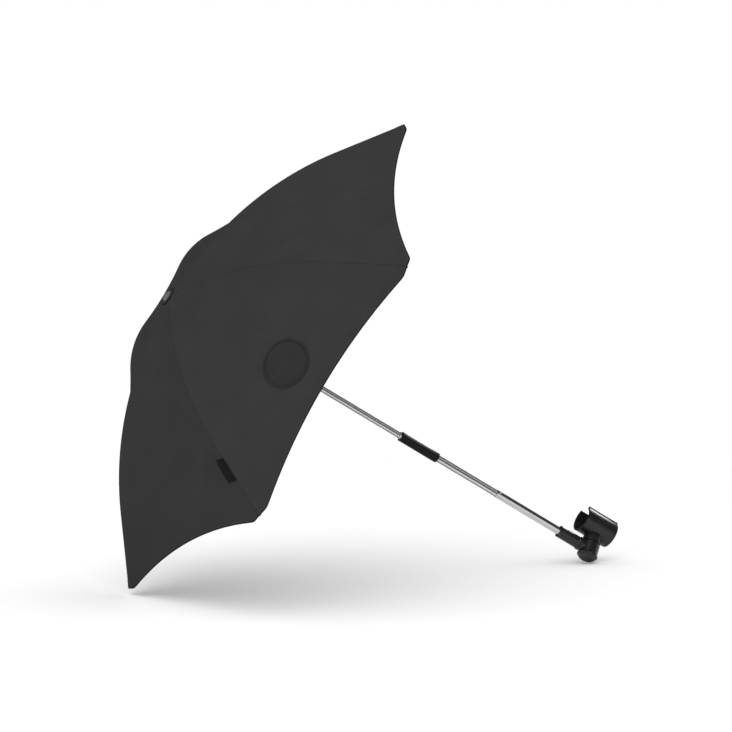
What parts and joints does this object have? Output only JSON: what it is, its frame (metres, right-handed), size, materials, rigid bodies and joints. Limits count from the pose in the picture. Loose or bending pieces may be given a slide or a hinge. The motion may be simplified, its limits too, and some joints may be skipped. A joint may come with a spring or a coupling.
{
  "type": "pram parasol",
  "caption": "Clip-on pram parasol: a snap clip with a turning pivot, a telescoping chrome shaft with a tilting knuckle, and a folding ribbed cloth canopy.",
  "frame": {"origin": "middle of the clip's bore, half way along the clip", "axes": "+Z along the shaft from the clip up to the crown, +Y the way the clip's mouth opens, with the shaft standing on the clip's -Y side"},
  "size_m": [0.698, 0.6114, 0.714],
  "materials": {
    "chrome_tube": "polished chrome plate",
    "black_plastic": "satin black moulding",
    "sleeve_plastic": "smooth satin black tube",
    "canopy_cloth": "charcoal plain-weave polyester",
    "patch_cloth": "charcoal round patch with a raised rim",
    "tag_tape": "black woven tape",
    "finial_plastic": "satin grey moulding",
    "ring_plastic": "dark washer",
    "rib_steel": "black enamelled steel wire",
    "stretcher_steel": "black enamelled steel strip",
    "plain_steel": "bright steel",
    "spring_steel": "spring steel",
    "knuckle_alloy": "machined alloy",
    "brass_insert": "turned brass"
  },
  "bodies": {
    "clip": {"clip": "black_plastic", "pivot_bolt": "plain_steel", "cross_pin": "plain_steel", "friction_washer": "ring_plastic"},
    "socket": {"shaft_socket": "black_plastic", "socket_pin": "plain_steel", "lower_tube": "chrome_tube"},
    "knob": {"clamp_knob": "black_plastic", "knob_insert": "brass_insert"},
    "middle": {"middle_tube": "chrome_tube", "middle_tube_foot": "ring_plastic", "snap_spring": "spring_steel", "tilt_fork": "knuckle_alloy", "tilt_pin": "plain_steel"},
    "button": {"snap_button": "plain_steel"},
    "sleeve": {"tilt_sleeve": "sleeve_plastic"},
    "catch": {"runner_catch": "spring_steel"},
    "head": {"tilt_tongue": "knuckle_alloy", "upper_tube": "chrome_tube", "top_notch": "black_plastic", "notch_wire": "plain_steel", "crown_disc": "ring_plastic", "tube_plug": "ring_plastic", "finial_stud": "plain_steel", "finial_ring": "ring_plastic", "finial_cap": "finial_plastic", "canopy_patch": "patch_cloth", "side_tag": "tag_tape", "canopy_gore_1": "canopy_cloth", "canopy_gore_2": "canopy_cloth", "canopy_gore_3": "canopy_cloth", "canopy_gore_4": "canopy_cloth", "canopy_gore_5": "canopy_cloth", "canopy_gore_6": "canopy_cloth"},
    "runner": {"runner": "black_plastic"},
    "rib_1": {"rib_1": "rib_steel", "joint_rivet_1": "plain_steel", "rib_tip_1": "black_plastic"},
    "stretcher_1": {"stretcher_1": "stretcher_steel"},
    "rib_2": {"rib_2": "rib_steel", "joint_rivet_2": "plain_steel", "rib_tip_2": "black_plastic"},
    "stretcher_2": {"stretcher_2": "stretcher_steel"},
    "rib_3": {"rib_3": "rib_steel", "joint_rivet_3": "plain_steel", "rib_tip_3": "black_plastic"},
    "stretcher_3": {"stretcher_3": "stretcher_steel"},
    "rib_4": {"rib_4": "rib_steel", "joint_rivet_4": "plain_steel", "rib_tip_4": "black_plastic"},
    "stretcher_4": {"stretcher_4": "stretcher_steel"},
    "rib_5": {"rib_5": "rib_steel", "joint_rivet_5": "plain_steel", "rib_tip_5": "black_plastic"},
    "stretcher_5": {"stretcher_5": "stretcher_steel"},
    "rib_6": {"rib_6": "rib_steel", "joint_rivet_6": "plain_steel", "rib_tip_6": "black_plastic"},
    "stretcher_6": {"stretcher_6": "stretcher_steel"}
  },
  "joints": [
    {"name": "pivot_swing", "type": "hinge", "parent": "clip", "child": "socket", "pos_m": [0, -0.0358, 0], "axis": [0, 1, 0], "continuous": true},
    {"name": "knob_turn", "type": "hinge", "parent": "clip", "child": "knob", "pos_m": [0, -0.045, 0], "axis": [0, 1, 0], "range_deg": [0, 180]},
    {"name": "telescope", "type": "slide", "parent": "socket", "child": "middle", "axis": [0, 0, 1], "range_m": [-0.08, 0], "deforming": ["snap_button"]},
    {"name": "button_press", "type": "slide", "parent": "middle", "child": "button", "axis": [-0.9659, -0.2588, 0], "range_m": [0, 0.0015], "stiffness_N_per_m": 2000, "deforming": ["snap_spring"]},
    {"name": "tilt", "type": "hinge", "parent": "middle", "child": "head", "pos_m": [0, -0.0358, 0.311], "axis": [-1, 0, 0], "range_deg": [0, 60]},
    {"name": "sleeve_slide", "type": "slide", "parent": "middle", "child": "sleeve", "axis": [0, 0, 1], "range_m": [-0.016, 0]},
    {"name": "catch_press", "type": "hinge", "parent": "head", "child": "catch", "pos_m": [0.004, -0.0358, 0.56275], "axis": [0, -1, 0], "range_deg": [0, 7], "stiffness_Nm_per_rad": 0.44},
    {"name": "rib_1_fold", "type": "hinge", "parent": "head", "child": "rib_1", "pos_m": [0.0085, -0.0358, 0.6789], "axis": [0, -1, 0], "range_deg": [-65, 0], "deforming": ["canopy_gore_1", "canopy_gore_2", "canopy_gore_3", "canopy_gore_4", "canopy_gore_5", "canopy_gore_6", "canopy_patch", "side_tag", "runner_catch"]},
    {"name": "rib_2_fold", "type": "hinge", "parent": "head", "child": "rib_2", "pos_m": [0.00425, -0.02844, 0.6789], "axis": [0.866, -0.5, 0], "range_deg": [-65, 0]},
    {"name": "rib_3_fold", "type": "hinge", "parent": "head", "child": "rib_3", "pos_m": [-0.00425, -0.02844, 0.6789], "axis": [0.866, 0.5, 0], "range_deg": [-65, 0]},
    {"name": "rib_4_fold", "type": "hinge", "parent": "head", "child": "rib_4", "pos_m": [-0.0085, -0.0358, 0.6789], "axis": [0, 1, 0], "range_deg": [-65, 0]},
    {"name": "rib_5_fold", "type": "hinge", "parent": "head", "child": "rib_5", "pos_m": [-0.00425, -0.04316, 0.6789], "axis": [-0.866, 0.5, 0], "range_deg": [-65, 0]},
    {"name": "rib_6_fold", "type": "hinge", "parent": "head", "child": "rib_6", "pos_m": [0.00425, -0.04316, 0.6789], "axis": [-0.866, -0.5, 0], "range_deg": [-65, 0]},
    {"name": "stretcher_1_fold", "type": "hinge", "parent": "rib_1", "child": "stretcher_1", "pos_m": [0.16316, -0.0358, 0.64297], "axis": [0, -1, 0], "range_deg": [0, 130]},
    {"name": "stretcher_2_fold", "type": "hinge", "parent": "rib_2", "child": "stretcher_2", "pos_m": [0.08158, 0.1055, 0.64297], "axis": [0.866, -0.5, 0], "range_deg": [0, 130]},
    {"name": "stretcher_3_fold", "type": "hinge", "parent": "rib_3", "child": "stretcher_3", "pos_m": [-0.08158, 0.1055, 0.64297], "axis": [0.866, 0.5, 0], "range_deg": [0, 130]},
    {"name": "stretcher_4_fold", "type": "hinge", "parent": "rib_4", "child": "stretcher_4", "pos_m": [-0.16316, -0.0358, 0.64297], "axis": [0, 1, 0], "range_deg": [0, 130]},
    {"name": "stretcher_5_fold", "type": "hinge", "parent": "rib_5", "child": "stretcher_5", "pos_m": [-0.08158, -0.1771, 0.64297], "axis": [-0.866, 0.5, 0], "range_deg": [0, 130]},
    {"name": "stretcher_6_fold", "type": "hinge", "parent": "rib_6", "child": "stretcher_6", "pos_m": [0.08158, -0.1771, 0.64297], "axis": [-0.866, -0.5, 0], "range_deg": [0, 130]},
    {"name": "runner_slide", "type": "slide", "parent": "head", "child": "runner", "axis": [0, 0, 1], "range_m": [-0.23885, 0]}
  ],
  "couplings": [
    {"joint": "sleeve_slide", "follows": "tilt", "m_per_rad": -0.015279},
    {"joint": "rib_2_fold", "follows": "rib_1_fold", "ratio": 1},
    {"joint": "rib_3_fold", "follows": "rib_1_fold", "ratio": 1},
    {"joint": "rib_4_fold", "follows": "rib_1_fold", "ratio": 1},
    {"joint": "rib_5_fold", "follows": "rib_1_fold", "ratio": 1},
    {"joint": "rib_6_fold", "follows": "rib_1_fold", "ratio": 1},
    {"joint": "stretcher_1_fold", "follows": "rib_1_fold", "ratio": -2},
    {"joint": "stretcher_2_fold", "follows": "rib_1_fold", "ratio": -2},
    {"joint": "stretcher_3_fold", "follows": "rib_1_fold", "ratio": -2},
    {"joint": "stretcher_4_fold", "follows": "rib_1_fold", "ratio": -2},
    {"joint": "stretcher_5_fold", "follows": "rib_1_fold", "ratio": -2},
    {"joint": "stretcher_6_fold", "follows": "rib_1_fold", "ratio": -2},
    {"joint": "runner_slide", "follows": "rib_1_fold", "m_per_rad": 0.21054}
  ]
}
